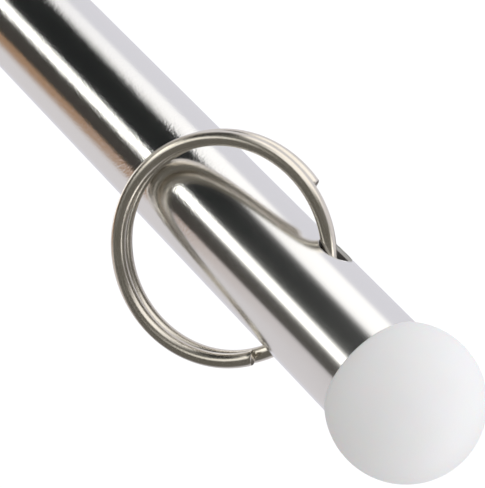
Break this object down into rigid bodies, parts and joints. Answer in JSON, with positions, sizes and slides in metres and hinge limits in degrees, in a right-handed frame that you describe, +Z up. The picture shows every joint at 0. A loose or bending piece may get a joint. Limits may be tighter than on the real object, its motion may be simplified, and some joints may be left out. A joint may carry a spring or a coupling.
{
  "type": "small flag staff",
  "caption": "Upright steel tube staff with a ball cap and split rings through cross holes that hold the flag.",
  "frame": {"origin": "middle of the flat foot face of the staff", "axes": "+Z up the tube to the ball, X along the cross holes of the rings, -Y the side that the rings lean on"},
  "size_m": [0.0248, 0.0177, 0.2541],
  "materials": {
    "polished_tube": "polished",
    "ring_steel": "bright wire",
    "white_plastic": "matte"
  },
  "bodies": {
    "staff": {"pole_tube": "polished_tube", "ball_cap": "white_plastic", "foot_plug": "white_plastic"},
    "upper_ring": {"split_ring_upper": "ring_steel"},
    "lower_ring": {"split_ring_lower": "ring_steel"}
  },
  "joints": [
    {"name": "upper_ring_swing", "type": "hinge", "parent": "staff", "child": "upper_ring", "pos_m": [0, 0, 0.2294], "axis": [-1, 0, 0], "range_deg": [0, 130]},
    {"name": "lower_ring_swing", "type": "hinge", "parent": "staff", "child": "lower_ring", "pos_m": [0, 0, 0.077], "axis": [-1, 0, 0], "range_deg": [0, 130]}
  ]
}
